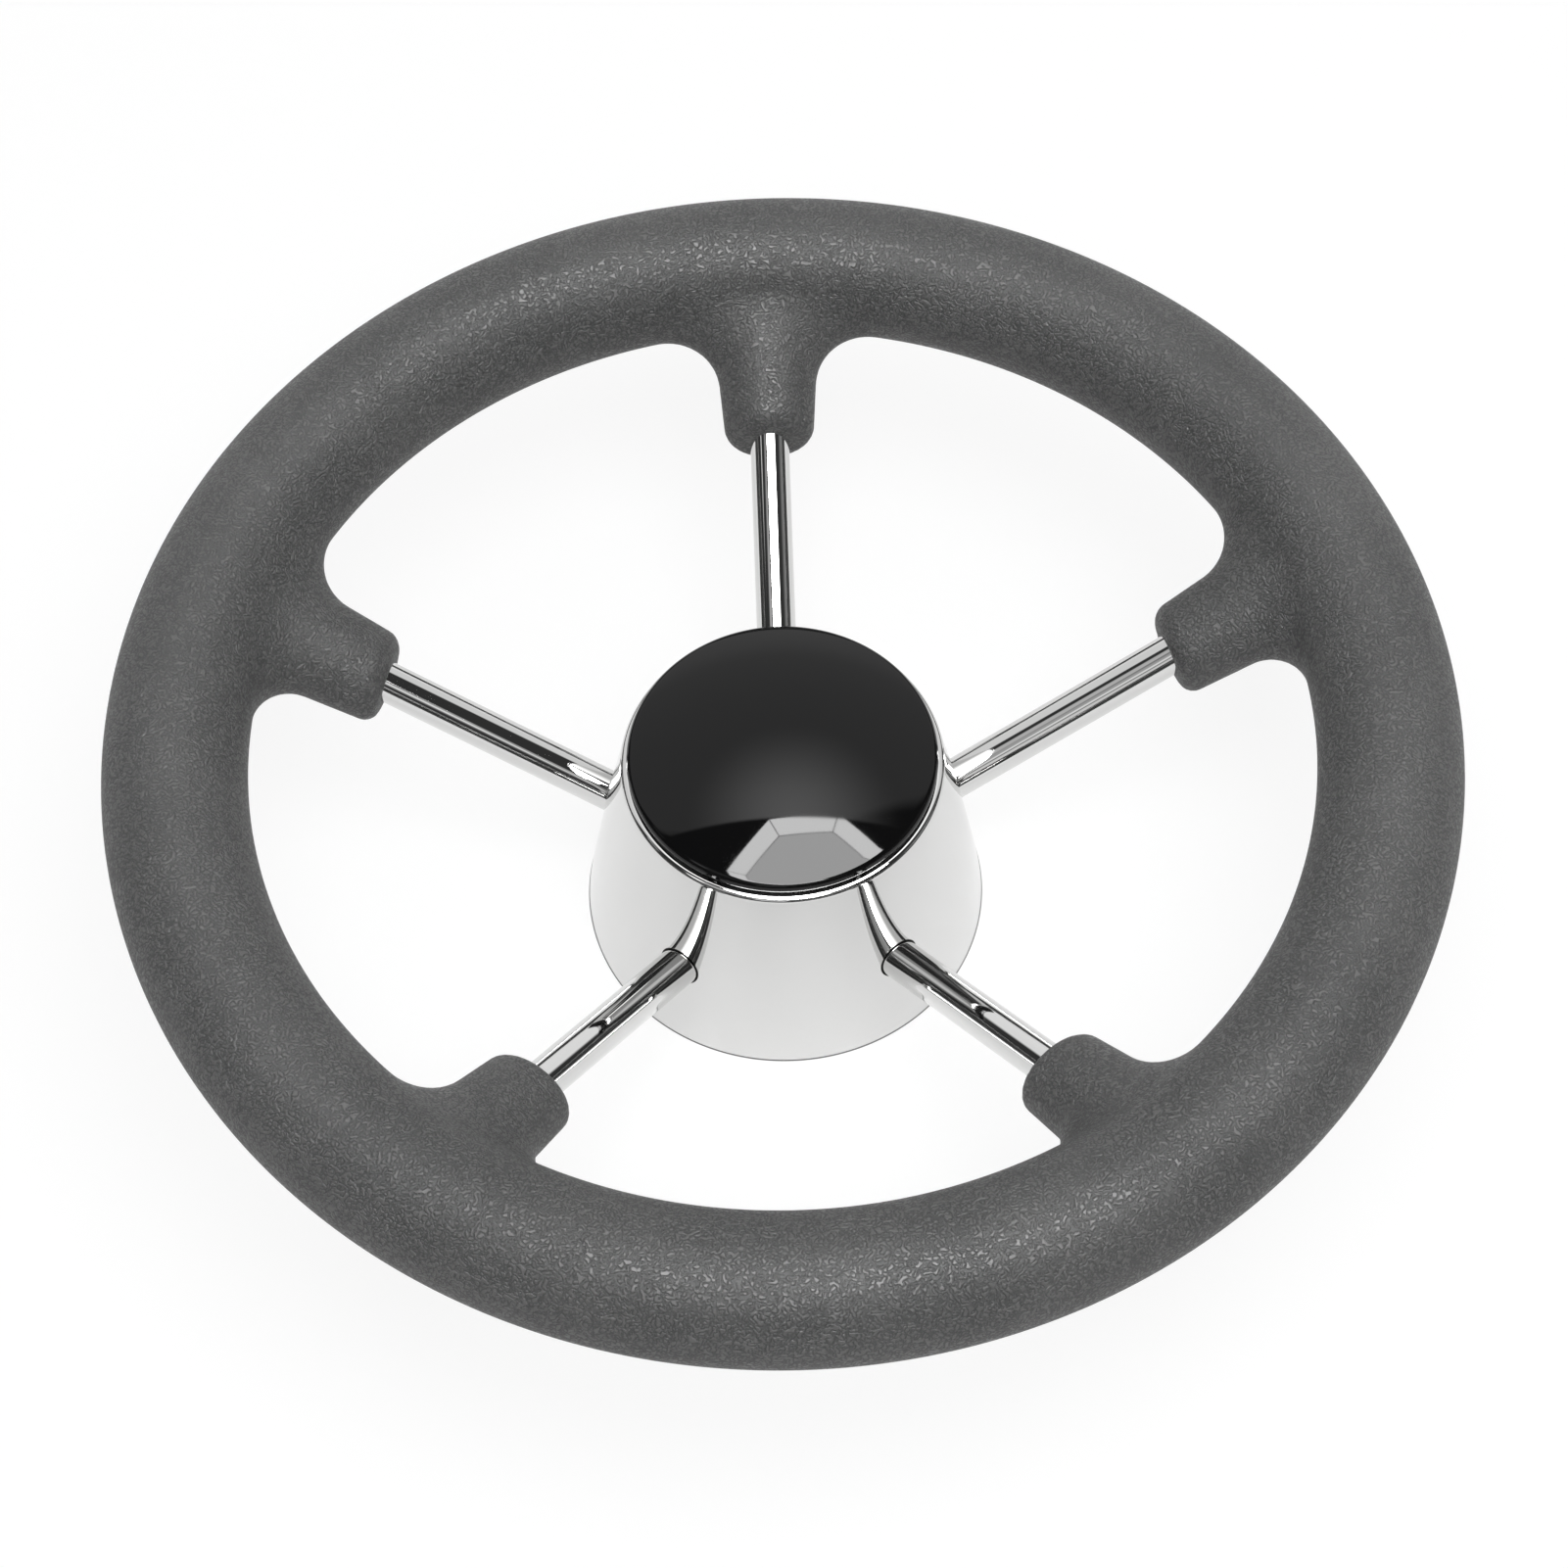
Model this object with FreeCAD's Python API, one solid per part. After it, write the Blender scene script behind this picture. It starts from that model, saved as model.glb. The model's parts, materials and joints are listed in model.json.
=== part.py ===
import FreeCAD, Part

import math
import os

# A five-spoke boat steering wheel with a moulded foam grip, in millimetres.
# +Z runs along the wheel's axis towards the driver. The origin is on that axis, in the plane of
# the bell's open back edge, which is what the wheel lies on when it is off its helm.

# Rim: a steel tube ring inside a foam moulding
wheel_diameter = 343.0
grip_diameter = 36.5
ring_tube_diameter = 16.0
ring_tube_wall = 1.5

# Spokes: straight tubes that dish back from the ring to the hub. The foot height is where a
# spoke's axis meets the hub's wall.
spoke_count = 5
first_spoke_angle = 90.0
spoke_diameter = 10.7
spoke_wall = 1.5
dish_angle = 25.4
spoke_foot_height = 14.25

# Gussets: the moulding runs down each spoke and blends into the rim
gusset_reach = 50.0
gusset_end_width = 24.0
gusset_end_depth = 22.5
gusset_end_slant = 15.0
gusset_end_rounding = 4.0
gusset_root_width = 32.0
gusset_root_depth = 27.0
gusset_fillet = 15.0

# Hub: a turned boss with a tapered seat for the helm's shaft and a slot for its key
hub_diameter = 38.0
hub_inset = 2.0
hub_chamfer = 1.0
taper_large_diameter = 19.05
taper_length = 38.1
taper_ratio = 12.0
key_width = 4.76
key_slot_depth = 2.4
nut_recess_diameter = 29.0
nut_recess_depth = 3.0

# Bell: a drawn sheet cover with a rolled shoulder, a ledge for the cap and a turned-down neck
bell_base_diameter = 106.7
bell_shoulder_diameter = 83.0
bell_height = 63.9
bell_sheet = 1.2
bell_bulge = 0.5
bell_shoulder_roll = 1.7
neck_diameter = 70.0
neck_depth = 8.0
neck_roll = 1.8
spoke_hole_clearance = 0.15

# Centre cap: a domed moulding whose skirt is gripped in the neck by a rubber ring
cap_diameter = 80.0
cap_edge_radius = 2.0
cap_crown = 7.0
cap_wall = 2.2
cap_skirt_length = 9.0
cap_skirt_clearance = 0.3
cap_skirt_chamfer = 0.6
o_ring_section = 2.0
o_ring_depth = 5.0

# Welds: a round bead at each end of a spoke, and a short tack where it enters the bell
weld_leg = 2.2
tack_leg = 1.6

# What follows from these sizes
grip_radius = grip_diameter / 2
ring_radius = (wheel_diameter - grip_diameter) / 2
ring_tube_radius = ring_tube_diameter / 2
spoke_radius = spoke_diameter / 2
hub_radius = hub_diameter / 2
neck_radius = neck_diameter / 2
taper_small_diameter = taper_large_diameter - taper_length / taper_ratio
nut_seat_height = hub_inset + taper_length
hub_top = nut_seat_height + nut_recess_depth
dish = math.radians(dish_angle)
rim_height = spoke_foot_height + (ring_radius - hub_radius) * math.tan(dish)

X = FreeCAD.Vector(1, 0, 0)
Y = FreeCAD.Vector(0, 1, 0)
Z = FreeCAD.Vector(0, 0, 1)
ORIGIN = FreeCAD.Vector(0, 0, 0)
RING_CENTRE = Z * rim_height
FULL_TURN = 360
TOUCHING = 1e-6


class SpokeLine:
    """A spoke's axis: root is on the ring's centre circle, inward runs down to the hub.

    outward is level, away from the wheel's axis; across is level and square to it; upward is
    square to inward and across.
    """

    def __init__(self, angle):
        turn = math.radians(angle)
        self.outward = X * math.cos(turn) + Y * math.sin(turn)
        self.across = Y * math.cos(turn) - X * math.sin(turn)
        self.root = RING_CENTRE + self.outward * ring_radius
        self.inward = self.outward * -math.cos(dish) - Z * math.sin(dish)
        self.upward = Z * math.cos(dish) - self.outward * math.sin(dish)

    def at(self, distance):
        """The point on the axis at a distance down the spoke from its root."""
        return self.root + self.inward * distance

    def distance_to_radius(self, radius):
        """How far down the spoke its axis comes within radius of the wheel's axis."""
        return (ring_radius - radius) / math.cos(dish)

    def rod(self, radius, start, end):
        """A round bar along the axis between two distances down the spoke."""
        return Part.makeCylinder(radius, end - start, self.at(start), self.inward)


SPOKES = [
    SpokeLine(first_spoke_angle + FULL_TURN * number / spoke_count) for number in range(spoke_count)
]


def oval(centre, across, half_width, upward, half_depth):
    """A closed elliptical wire about centre, in the plane of the two directions."""
    if abs(half_width - half_depth) < TOUCHING:
        return Part.Wire([Part.Circle(centre, across.cross(upward), half_width).toShape()])
    wide = centre + across * half_width
    deep = centre + upward * half_depth
    if half_width < half_depth:
        wide, deep = deep, wide
    return Part.Wire([Part.Ellipse(wide, deep, centre).toShape()])


def turned(face):
    """The solid that a face in the XZ plane makes when it turns about the wheel's axis."""
    return face.revolve(ORIGIN, Z, FULL_TURN)


def turned_polygon(corners):
    points = [X * radius + Z * height for radius, height in corners]
    return turned(Part.Face(Part.makePolygon(points + points[:1])))


def rim_ring():
    """A tube bent round to a closed ring."""
    outside = Part.makeTorus(ring_radius, ring_tube_radius, RING_CENTRE, Z)
    inside = Part.makeTorus(ring_radius, ring_tube_radius - ring_tube_wall, RING_CENTRE, Z)
    return outside.cut(inside)


def ring_solid():
    return Part.makeTorus(ring_radius, ring_tube_radius, RING_CENTRE, Z)


def hub_blank():
    return Part.makeCylinder(hub_radius, hub_top - hub_inset, Z * hub_inset, Z)


def spoke(line):
    """A tube with a saddle cut at each end, to sit on the ring and on the hub."""
    length = line.distance_to_radius(0)
    tube = line.rod(spoke_radius, 0, length).cut(line.rod(spoke_radius - spoke_wall, 0, length))
    return largest(tube.cut([ring_solid(), hub_blank()]))


def largest(shape):
    return max(shape.Solids, key=lambda solid: solid.Volume)


def rim_bead(line):
    """The weld bead round a spoke's outer end, before the ring and the spoke are cut from it."""
    foot = line.rod(spoke_radius + weld_leg, ring_tube_radius / 2, ring_tube_radius)
    toe = Part.makeCone(
        spoke_radius + weld_leg, spoke_radius, weld_leg, line.at(ring_tube_radius), line.inward
    )
    return foot.fuse(toe)


def rim_weld(line):
    return rim_bead(line).cut([ring_solid(), line.rod(spoke_radius, 0, ring_radius)])


def hub_weld(line):
    """The weld bead round a spoke's inner end: an oblique cone with upright sections."""
    slant = 1 / math.cos(dish)
    sections = []
    for hub_distance, radius in (
        (hub_radius / 2, spoke_radius + weld_leg),
        (hub_radius, spoke_radius + weld_leg),
        (hub_radius + weld_leg, spoke_radius),
    ):
        centre = line.at(line.distance_to_radius(hub_distance))
        sections.append(oval(centre, line.across, radius, Z, radius * slant))
    bead = Part.makeLoft(sections, True, True)
    steel = [hub_blank(), line.rod(spoke_radius, 0, line.distance_to_radius(0))]
    return largest(bead.cut(steel))


def gusset(line):
    """The tapered boss of foam down a spoke, from inside the rim to its rounded, slanted end."""
    root = oval(line.root, line.across, gusset_root_width / 2, line.upward, gusset_root_depth / 2)
    slant = math.radians(gusset_end_slant)
    end_upward = line.upward * math.cos(slant) - line.inward * math.sin(slant)
    end_half_depth = gusset_end_depth / 2 / math.cos(slant)
    end_centre = line.at(gusset_reach)
    end = oval(end_centre, line.across, gusset_end_width / 2, end_upward, end_half_depth)
    boss = Part.makeLoft([root, end], True, True)
    end_face = min(boss.Faces, key=lambda face: face.CenterOfMass.distanceToPoint(end_centre))
    return boss.makeFillet(gusset_end_rounding, end_face.OuterWire.Edges)


def rim_junction(shape):
    """The edges where a gusset runs out of the round rim."""
    edges = []
    for edge in shape.Edges:
        sides = shape.ancestorsOfType(edge, Part.Face)
        on_rim = [isinstance(face.Surface, Part.Toroid) for face in sides]
        if any(on_rim) and not all(on_rim):
            edges.append(edge)
    return edges


def foam_grip():
    """One moulding: the round rim, a blended gusset at each spoke, and the room for the steel."""
    rim = Part.makeTorus(ring_radius, grip_radius, RING_CENTRE, Z)
    body = rim.fuse([gusset(line) for line in SPOKES])
    body = body.makeFillet(gusset_fillet, rim_junction(body))
    steel = [ring_solid()]
    for line in SPOKES:
        steel.append(line.rod(spoke_radius, 0, line.distance_to_radius(0)))
        steel.append(rim_bead(line))
    return body.cut(steel)


def hub():
    """A turned boss: a tapered bore, a key slot along it and a recess for the shaft's nut."""
    large, small = taper_large_diameter / 2, taper_small_diameter / 2
    recess = nut_recess_diameter / 2
    boss = turned_polygon([
        (large, hub_inset),
        (hub_radius - hub_chamfer, hub_inset),
        (hub_radius, hub_inset + hub_chamfer),
        (hub_radius, hub_top - hub_chamfer),
        (hub_radius - hub_chamfer, hub_top),
        (recess, hub_top),
        (recess, nut_seat_height),
        (small, nut_seat_height),
    ])
    return boss.cut(key_slot(large, small))


def key_slot(large, small):
    """The slot's floor is parallel to the taper. It faces the first spoke."""
    line = SPOKES[0]
    corners = [
        (0, hub_inset),
        (large + key_slot_depth, hub_inset),
        (small + key_slot_depth, nut_seat_height),
        (0, nut_seat_height),
    ]
    side = line.across * (-key_width / 2)
    points = [line.outward * radius + Z * height + side for radius, height in corners]
    return Part.Face(Part.makePolygon(points + points[:1])).extrude(line.across * key_width)


def bell_wall(depth):
    """The wall's slightly bulged line, at a depth under its outer face, from base to shoulder."""
    base_radius, shoulder_radius = bell_base_diameter / 2, bell_shoulder_diameter / 2
    lean = math.atan2(base_radius - shoulder_radius, bell_height)
    level_depth = depth / math.cos(lean)
    base = X * (base_radius - level_depth)
    shoulder = X * (shoulder_radius - level_depth + depth * math.tan(lean))
    shoulder += Z * (bell_height - depth)
    outwards = X * math.cos(lean) + Z * math.sin(lean)
    crest = (base + shoulder) / 2 + outwards * 2 * bell_bulge
    curve = Part.BezierCurve()
    curve.setPoles([base, crest, shoulder])
    return curve.toShape(), base, shoulder


def face_between(curve_1, corners, curve_2):
    """A face bounded by two curves that both start at the base, joined by straight runs."""
    runs = [Part.LineSegment(a, b).toShape() for a, b in zip(corners, corners[1:])]
    foot = Part.LineSegment(curve_2.Vertexes[0].Point, curve_1.Vertexes[0].Point).toShape()
    return Part.Face(Part.Wire(Part.sortEdges([curve_1, *runs, curve_2, foot])[0]))


def rings_of(shape, radius, height):
    """The circular edges of a turned shape that have this radius at this height."""
    return [
        edge for edge in shape.Edges
        if isinstance(edge.Curve, Part.Circle)
        and abs(edge.Curve.Radius - radius) < TOUCHING
        and abs(edge.Curve.Center.z - height) < TOUCHING
    ]


def bell_shell():
    """The drawn cover before its holes: wall, shoulder, ledge and neck, one sheet thick."""
    outer_wall, _, outer_shoulder = bell_wall(0)
    inner_wall, _, inner_shoulder = bell_wall(bell_sheet)
    neck_end = bell_height - neck_depth
    neck_outside = neck_radius + bell_sheet
    under_ledge = bell_height - bell_sheet
    corners = [
        outer_shoulder,
        X * neck_radius + Z * bell_height,
        X * neck_radius + Z * neck_end,
        X * neck_outside + Z * neck_end,
        X * neck_outside + Z * under_ledge,
        inner_shoulder,
    ]
    shell = turned(face_between(outer_wall, corners, inner_wall))
    for radius, height, roll in (
        (outer_shoulder.x, bell_height, bell_shoulder_roll),
        (inner_shoulder.x, under_ledge, bell_shoulder_roll - bell_sheet),
        (neck_radius, bell_height, neck_roll),
        (neck_outside, under_ledge, neck_roll - bell_sheet),
    ):
        shell = shell.makeFillet(roll, rings_of(shell, radius, height))
    return shell


def bell():
    hole = spoke_radius + spoke_hole_clearance
    return bell_shell().cut([line.rod(hole, 0, line.distance_to_radius(0)) for line in SPOKES])


def bell_tack(line, cover):
    """A short bead under a spoke, in the corner between the tube and the inside of the cover."""
    outer_wall, _, top = bell_wall(0)
    lining, _, lining_top = bell_wall(bell_sheet + tack_leg)
    band = turned(face_between(outer_wall, [top, lining_top], lining)).cut(cover)
    end = line.distance_to_radius(hub_radius)
    collar = line.rod(spoke_radius + tack_leg, 0, end).cut(line.rod(spoke_radius, 0, end))
    underside = line.rod(spoke_radius, 0, end)
    underside.translate(line.upward * -(spoke_radius + tack_leg))
    return largest(collar.common(band).common(underside))


def cap_profile():
    """Half of the cap's section: dome, rounded edge, skirt, and the same again on the inside."""
    edge_height = bell_height + cap_edge_radius
    edge = X * (cap_diameter / 2 - cap_edge_radius) + Z * edge_height
    dome_radius = (edge.x ** 2 + cap_crown ** 2 - cap_edge_radius ** 2) / (
        2 * (cap_crown - cap_edge_radius)
    )
    dome_centre = Z * (edge_height + cap_crown - dome_radius)
    blend_way = (edge - dome_centre).normalize()
    blend = edge + blend_way * cap_edge_radius
    top = dome_centre + Z * dome_radius
    half_way = (blend_way + Z).normalize()
    skirt = neck_radius - cap_skirt_clearance
    skirt_end = bell_height - cap_skirt_length
    inner_dome = dome_radius - cap_wall
    inner_skirt = skirt - cap_wall
    inner_corner = dome_centre + X * inner_skirt + Z * math.sqrt(inner_dome ** 2 - inner_skirt ** 2)
    inner_way = ((inner_corner - dome_centre).normalize() + Z).normalize()
    inner_top = dome_centre + Z * inner_dome
    straight = [
        edge - Z * cap_edge_radius,
        X * skirt + Z * bell_height,
        X * skirt + Z * (skirt_end + cap_skirt_chamfer),
        X * (skirt - cap_skirt_chamfer) + Z * skirt_end,
        X * inner_skirt + Z * skirt_end,
        inner_corner,
    ]
    outline = [
        Part.Arc(top, dome_centre + half_way * dome_radius, blend).toShape(),
        Part.Arc(blend, edge + X * cap_edge_radius, straight[0]).toShape(),
    ]
    outline += [Part.LineSegment(a, b).toShape() for a, b in zip(straight, straight[1:])]
    outline.append(Part.Arc(inner_corner, dome_centre + inner_way * inner_dome, inner_top).toShape())
    outline.append(Part.LineSegment(inner_top, top).toShape())
    return Part.Face(Part.Wire(outline))


def cap_o_ring():
    """A rubber ring that just meets the neck's wall."""
    centre = Z * (bell_height - o_ring_depth)
    return Part.makeTorus(neck_radius - o_ring_section / 2, o_ring_section / 2, centre, Z)


def centre_cap():
    return turned(cap_profile()).cut(cap_o_ring())


def all_pieces():
    cover = bell()
    pieces = {
        "foam_grip": foam_grip(),
        "rim_ring": rim_ring(),
        "rim_welds": Part.makeCompound([rim_weld(line) for line in SPOKES]),
        "hub": hub(),
        "hub_welds": Part.makeCompound([hub_weld(line) for line in SPOKES]),
        "bell": cover,
        "bell_tacks": Part.makeCompound([bell_tack(line, cover) for line in SPOKES]),
        "centre_cap": centre_cap(),
        "cap_o_ring": cap_o_ring(),
    }
    for number, line in enumerate(SPOKES, start=1):
        pieces[f"spoke_{number}"] = spoke(line)
    return pieces


os.makedirs("parts", exist_ok=True)
for name, shape in all_pieces().items():
    shape.exportStep(f"parts/{name}.step")
    print(name, "solids", len(shape.Solids), "volume", round(shape.Volume), "valid", shape.isValid())
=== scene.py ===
# %% [markdown]
# # Dressing a boat steering wheel
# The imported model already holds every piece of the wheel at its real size. This lesson gives the
# pieces their looks: a moulded foam grip, mirror-polished tubes and bell, and a glossy black cap.
# Lengths are in metres. The wheel's axis is Z, its driver looks down on it from +Z, and it lies on
# the floor at height zero.

import json
import math

import bmesh
import bpy
import numpy as np
from mathutils import Matrix, Vector


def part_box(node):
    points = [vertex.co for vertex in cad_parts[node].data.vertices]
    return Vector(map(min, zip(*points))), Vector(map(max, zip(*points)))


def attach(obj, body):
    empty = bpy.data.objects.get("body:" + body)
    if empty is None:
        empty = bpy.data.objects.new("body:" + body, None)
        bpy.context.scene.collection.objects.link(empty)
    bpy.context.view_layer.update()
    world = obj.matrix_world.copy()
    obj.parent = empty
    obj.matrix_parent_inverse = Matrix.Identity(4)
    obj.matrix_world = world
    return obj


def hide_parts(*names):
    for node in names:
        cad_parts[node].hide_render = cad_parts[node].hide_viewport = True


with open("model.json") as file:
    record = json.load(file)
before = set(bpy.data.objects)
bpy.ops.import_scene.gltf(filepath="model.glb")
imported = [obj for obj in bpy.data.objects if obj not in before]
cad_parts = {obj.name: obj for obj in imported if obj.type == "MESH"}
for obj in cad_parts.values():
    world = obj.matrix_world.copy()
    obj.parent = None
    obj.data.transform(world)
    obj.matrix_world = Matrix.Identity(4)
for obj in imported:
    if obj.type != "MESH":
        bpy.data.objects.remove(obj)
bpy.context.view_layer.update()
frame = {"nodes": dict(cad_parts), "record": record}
nodes = frame["nodes"]
print("nodes in the frame:", ", ".join(sorted(nodes)))

# %% [markdown]
# ## Sizes
# The large sizes are measured on the frame, so the looks follow the model. The rest are what a maker
# would read off the drawing: tube, sheet and fillet sizes, in millimetres turned into metres.

# %% Sizes of the rim
MM = 0.001
ring_low, ring_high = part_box("rim_ring")
grip_low, grip_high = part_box("foam_grip")
ring_tube_radius = (ring_high.z - ring_low.z) / 2
ring_radius = ring_high.x - ring_tube_radius
rim_height = (ring_high.z + ring_low.z) / 2
grip_radius = grip_high.z - rim_height
print(f"rim: circle of {ring_radius:.4f} m at height {rim_height:.4f} m, grip {2 * grip_radius:.4f} m thick")

# %% Sizes of the spokes and the hub
SPOKE_COUNT = 5
SECTOR = 2 * math.pi / SPOKE_COUNT
FIRST_SPOKE = math.radians(90)
DISH = math.radians(25.4)
SPOKE_RADIUS = 5.35 * MM
SPOKE_WALL = 1.5 * MM
hub_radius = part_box("hub")[1].x
print(f"spokes: {SPOKE_COUNT} tubes {2 * SPOKE_RADIUS:.4f} m thick, hub {2 * hub_radius:.4f} m wide")

# %% Sizes of the bell and the cap
bell_base_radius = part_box("bell")[1].x
bell_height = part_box("bell")[1].z
BELL_SHOULDER_RADIUS = 41.5 * MM
BELL_BULGE = 0.5 * MM
BELL_SHEET = 1.2 * MM
SHOULDER_ROLL = 1.7 * MM
NECK_RADIUS = 35.0 * MM
NECK_DEPTH = 8.0 * MM
NECK_ROLL = 1.8 * MM
HOLE_CLEARANCE = 0.35 * MM
cap_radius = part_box("centre_cap")[1].x
cap_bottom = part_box("centre_cap")[0].z
cap_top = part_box("centre_cap")[1].z
CAP_EDGE_RADIUS = 2.0 * MM
CAP_WALL = 2.2 * MM
CAP_SKIRT_RADIUS = 34.7 * MM
print(f"bell: {2 * bell_base_radius:.4f} m wide, {bell_height:.4f} m high, cap {2 * cap_radius:.4f} m wide")

# %% [markdown]
# ## The camera
# The photograph looks down on the wheel at 57 degrees, from 0.89 m, through a short telephoto lens.
# The wheel lies turned by less than a degree, so here the camera is turned back by as much instead.

# %% Place the camera
CAMERA_DISTANCE = 0.888405
CAMERA_ELEVATION = math.radians(57.075)
CAMERA_ROLL = math.radians(-1.347)
CAMERA_LENS = 80.571
WHEEL_TURN = math.radians(0.74)
AIM_FROM_RING_CENTRE = np.array([0.000243, -0.01595, 0.0])


def turned_about_z(point, angle):
    """The point turned about the wheel's axis: x and y mix by the angle's cosine and sine."""
    c, s = math.cos(angle), math.sin(angle)
    return np.array([c * point[0] - s * point[1], s * point[0] + c * point[1], point[2]])


def unit(vector):
    return vector / np.linalg.norm(vector)


def place_camera():
    """The camera's own axes are its right, its up and its back, as the columns of its matrix."""
    ring_centre = np.array([0, 0, rim_height])
    away = np.array([0, -math.cos(CAMERA_ELEVATION), math.sin(CAMERA_ELEVATION)])
    stand = ring_centre + turned_about_z(away * CAMERA_DISTANCE, -WHEEL_TURN)
    aim = ring_centre + turned_about_z(AIM_FROM_RING_CENTRE, -WHEEL_TURN)
    back = unit(stand - aim)
    right = unit(np.cross(-back, [0, 0, 1]))
    up = np.cross(back, right)
    c, s = math.cos(CAMERA_ROLL), math.sin(CAMERA_ROLL)
    placing = np.eye(4)
    placing[:3, 0] = c * right + s * up
    placing[:3, 1] = c * up - s * right
    placing[:3, 2] = back
    placing[:3, 3] = stand
    data = bpy.data.cameras.new("camera")
    data.lens = CAMERA_LENS
    data.clip_start = 0.01
    camera = bpy.data.objects.new("camera", data)
    bpy.context.scene.collection.objects.link(camera)
    camera.matrix_world = Matrix(placing.tolist())
    bpy.context.scene.camera = camera


place_camera()
print(f"camera: {CAMERA_LENS:.1f} mm lens, {CAMERA_DISTANCE:.3f} m from the ring's middle")

# %% [markdown]
# ## From arrays to a mesh
# Every new piece here is a surface worked out as whole arrays. A lattice is a grid of points numbered
# row by row, and its quads join neighbours; where a way wraps, the last row or column meets the first.
# A piece may be several sheets, whose shared edges are merged at the end so that the skin is closed.

# %% Lattices and pieces
MERGE_DISTANCE = 2e-6


def lattice(rows, columns, wrap_rows=False, wrap_columns=False):
    """Quads of a rows x columns grid: each joins a point, the next along, and the two below them."""
    i, j = np.meshgrid(
        np.arange(rows if wrap_rows else rows - 1),
        np.arange(columns if wrap_columns else columns - 1),
        indexing="ij",
    )
    below, beside = (i + 1) % rows, (j + 1) % columns
    corners = [i * columns + j, i * columns + beside, below * columns + beside, below * columns + j]
    return np.stack(corners, -1).reshape(-1, 4)


def joined(sheets):
    """Several (points, faces) sheets as one, each sheet's face numbers shifted past the last's."""
    points, faces, first = [], [], 0
    for sheet_points, sheet_faces in sheets:
        points.append(sheet_points.reshape(-1, 3))
        faces.append(sheet_faces + first)
        first += len(points[-1])
    return np.concatenate(points), np.concatenate(faces)


def make_piece(name, points, faces, merge=True):
    """A smooth mesh object at the origin, its doubled points merged and its faces turned outwards."""
    mesh = bpy.data.meshes.new(name)
    corners = faces.shape[1]
    mesh.vertices.add(len(points))
    mesh.vertices.foreach_set("co", points.astype(np.float32).ravel())
    mesh.loops.add(faces.size)
    mesh.loops.foreach_set("vertex_index", faces.astype(np.int32).ravel())
    mesh.polygons.add(len(faces))
    mesh.polygons.foreach_set("loop_start", np.arange(0, faces.size, corners, dtype=np.int32))
    mesh.update(calc_edges=True)
    if merge:
        shape = bmesh.new()
        shape.from_mesh(mesh)
        bmesh.ops.remove_doubles(shape, verts=shape.verts, dist=MERGE_DISTANCE)
        bmesh.ops.dissolve_degenerate(shape, edges=shape.edges, dist=MERGE_DISTANCE)
        bmesh.ops.recalc_face_normals(shape, faces=shape.faces)
        open_edges = sum(not edge.is_manifold for edge in shape.edges)
        shape.to_mesh(mesh)
        shape.free()
        print(f"{name}: {len(mesh.polygons)} faces, {open_edges} open edges")
    mesh.polygons.foreach_set("use_smooth", np.ones(len(mesh.polygons), bool))
    mesh.update()
    piece = bpy.data.objects.new(name, mesh)
    bpy.context.scene.collection.objects.link(piece)
    return piece


def dress(piece, material, slot_name, *replaced):
    """Gives a piece its material and its body, and hides the nodes that it stands for. Its slot name is not
    used.
    """
    piece.data.materials.clear()
    piece.data.materials.append(material)
    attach(piece, "root")
    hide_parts(*replaced)


# %% [markdown]
# ## Materials: a small kit
# A finish is a Principled shader with one or two noises behind it. The helpers below add a node and
# set its sockets by name, so that each material reads as a short recipe. The studio uses them too.

# %% Node helpers
NOISE_SPAN = (0.3, 0.7)


class Nodes:
    """Adds nodes to self.tree. Each input of a node is a value or another node's output."""

    def node(self, kind, settings=None, **inputs):
        """An input goes by its name, with _ for a space, or by its number: _0 is the first."""
        node = self.tree.nodes.new(kind)
        for key, value in (settings or {}).items():
            setattr(node, key, value)
        for key, value in inputs.items():
            socket = node.inputs[int(key[1:]) if key[1:].isdigit() else key.replace("_", " ")]
            if isinstance(value, bpy.types.NodeSocket):
                self.tree.links.new(value, socket)
            else:
                socket.default_value = value
        return node

    def math(self, operation, *values):
        inputs = {f"_{index}": value for index, value in enumerate(values)}
        return self.node("ShaderNodeMath", {"operation": operation}, **inputs).outputs[0]

    def vector(self, operation, **inputs):
        """A length and a dot product come out as a value, the rest as a vector."""
        output = "Value" if operation in ("LENGTH", "DOT_PRODUCT") else "Vector"
        return self.node("ShaderNodeVectorMath", {"operation": operation}, **inputs).outputs[output]

    def ranged(self, value, span, to, kind="LINEAR"):
        """The value's span from low to high, carried to another span and held at its ends."""
        return self.node(
            "ShaderNodeMapRange", {"interpolation_type": kind}, Value=value,
            From_Min=span[0], From_Max=span[1], To_Min=to[0], To_Max=to[1],
        ).outputs["Result"]


# %% A new material
class Finish(Nodes):
    """A material with a Principled shader, whose textures lie in the piece's own Object coordinates."""

    def __init__(self, name, **sockets):
        self.material = bpy.data.materials.new(name)
        self.material.use_nodes = True
        self.tree = self.material.node_tree
        self.shader = self.tree.nodes["Principled BSDF"]
        for socket, value in sockets.items():
            self.shader.inputs[socket.replace("_", " ")].default_value = value
        self.place = self.node("ShaderNodeTexCoord").outputs["Object"]

    def noise(self, scale, detail=2.0, roughness=0.5):
        return self.node(
            "ShaderNodeTexNoise", Vector=self.place, Scale=scale, Detail=detail, Roughness=roughness
        ).outputs["Fac"]

    def mixed_colour(self, amount, first, second):
        mix = self.node("ShaderNodeMix", {"data_type": "RGBA"}, Factor=amount, _6=first, _7=second)
        return mix.outputs[2]

    def bump(self, height, distance, strength=1.0, **under):
        """A slope from a height, over the normal of another bump where one is given."""
        inputs = {"Height": height, "Distance": distance, "Strength": strength, **under}
        return self.node("ShaderNodeBump", **inputs).outputs["Normal"]

    def link(self, output, socket):
        self.tree.links.new(output, self.shader.inputs[socket])
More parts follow.
